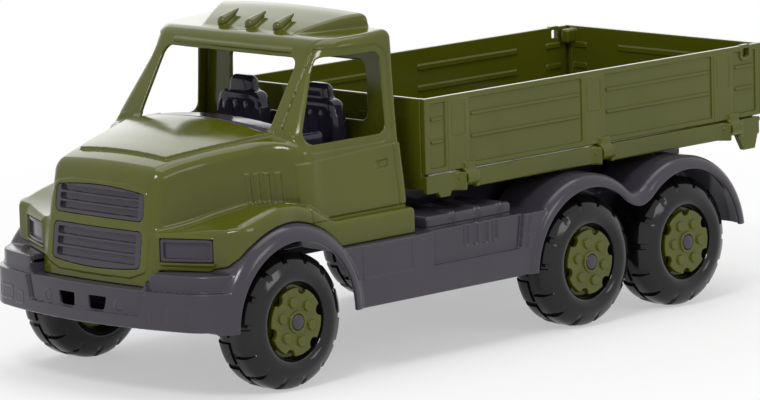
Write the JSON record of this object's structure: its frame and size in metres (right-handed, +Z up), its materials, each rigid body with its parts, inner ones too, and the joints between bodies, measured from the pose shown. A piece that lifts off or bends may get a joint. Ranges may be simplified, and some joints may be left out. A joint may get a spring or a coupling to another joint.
{
  "type": "toy military flatbed truck",
  "caption": "Moulded-plastic toy flatbed truck with free-turning wheels, an open cab with seats, and a load bed whose side boards and tailgate hinge down.",
  "frame": {"origin": "on the floor, at the middle of the truck's length and width", "axes": "+Y to the rear along the truck's length, +X to its left side, +Z up"},
  "size_m": [0.174, 0.435, 0.18],
  "materials": {
    "olive_plastic": "glossy moulded plastic, olive green",
    "charcoal_plastic": "satin-gloss moulded plastic, purplish dark grey",
    "navy_plastic": "glossy moulded plastic, very dark blue-grey",
    "black_plastic": "glossy blow-moulded black plastic",
    "axle_steel": "drawn steel rod"
  },
  "bodies": {
    "root": {"chassis": "charcoal_plastic", "cab_shell": "olive_plastic", "cab_interior": "navy_plastic", "grille_upper": "charcoal_plastic", "grille_lower": "charcoal_plastic", "headlamp_left": "charcoal_plastic", "headlamp_right": "charcoal_plastic", "bed_floor": "olive_plastic", "headboard": "olive_plastic", "axle_front": "axle_steel", "axle_middle": "axle_steel", "axle_rear": "axle_steel"},
    "wheel_front_left": {"tyre_front_left": "black_plastic", "hub_front_left": "olive_plastic", "cap_front_left": "charcoal_plastic"},
    "wheel_front_right": {"tyre_front_right": "black_plastic", "hub_front_right": "olive_plastic", "cap_front_right": "charcoal_plastic"},
    "wheel_middle_left": {"tyre_middle_left": "black_plastic", "hub_middle_left": "olive_plastic", "cap_middle_left": "charcoal_plastic"},
    "wheel_middle_right": {"tyre_middle_right": "black_plastic", "hub_middle_right": "olive_plastic", "cap_middle_right": "charcoal_plastic"},
    "wheel_rear_left": {"tyre_rear_left": "black_plastic", "hub_rear_left": "olive_plastic", "cap_rear_left": "charcoal_plastic"},
    "wheel_rear_right": {"tyre_rear_right": "black_plastic", "hub_rear_right": "olive_plastic", "cap_rear_right": "charcoal_plastic"},
    "board_left": {"side_board_left": "olive_plastic"},
    "board_right": {"side_board_right": "olive_plastic"},
    "gate": {"tailgate": "olive_plastic"}
  },
  "joints": [
    {"name": "wheel_front_left_spin", "type": "hinge", "parent": "root", "child": "wheel_front_left", "pos_m": [0.0715, -0.15, 0.0345], "axis": [1, 0, 0], "continuous": true},
    {"name": "wheel_front_right_spin", "type": "hinge", "parent": "root", "child": "wheel_front_right", "pos_m": [-0.0715, -0.15, 0.0345], "axis": [1, 0, 0], "continuous": true},
    {"name": "wheel_middle_left_spin", "type": "hinge", "parent": "root", "child": "wheel_middle_left", "pos_m": [0.0715, 0.0633, 0.0345], "axis": [1, 0, 0], "continuous": true},
    {"name": "wheel_middle_right_spin", "type": "hinge", "parent": "root", "child": "wheel_middle_right", "pos_m": [-0.0715, 0.0633, 0.0345], "axis": [1, 0, 0], "continuous": true},
    {"name": "wheel_rear_left_spin", "type": "hinge", "parent": "root", "child": "wheel_rear_left", "pos_m": [0.0715, 0.1385, 0.0345], "axis": [1, 0, 0], "continuous": true},
    {"name": "wheel_rear_right_spin", "type": "hinge", "parent": "root", "child": "wheel_rear_right", "pos_m": [-0.0715, 0.1385, 0.0345], "axis": [1, 0, 0], "continuous": true},
    {"name": "side_board_left_hinge", "type": "hinge", "parent": "root", "child": "board_left", "pos_m": [0.072, 0.0855, 0.088], "axis": [0, 1, 0], "range_deg": [0, 90]},
    {"name": "side_board_right_hinge", "type": "hinge", "parent": "root", "child": "board_right", "pos_m": [-0.072, 0.0855, 0.088], "axis": [0, -1, 0], "range_deg": [0, 90]},
    {"name": "tailgate_hinge", "type": "hinge", "parent": "root", "child": "gate", "pos_m": [0, 0.2133, 0.088], "axis": [-1, 0, 0], "range_deg": [0, 90]}
  ]
}
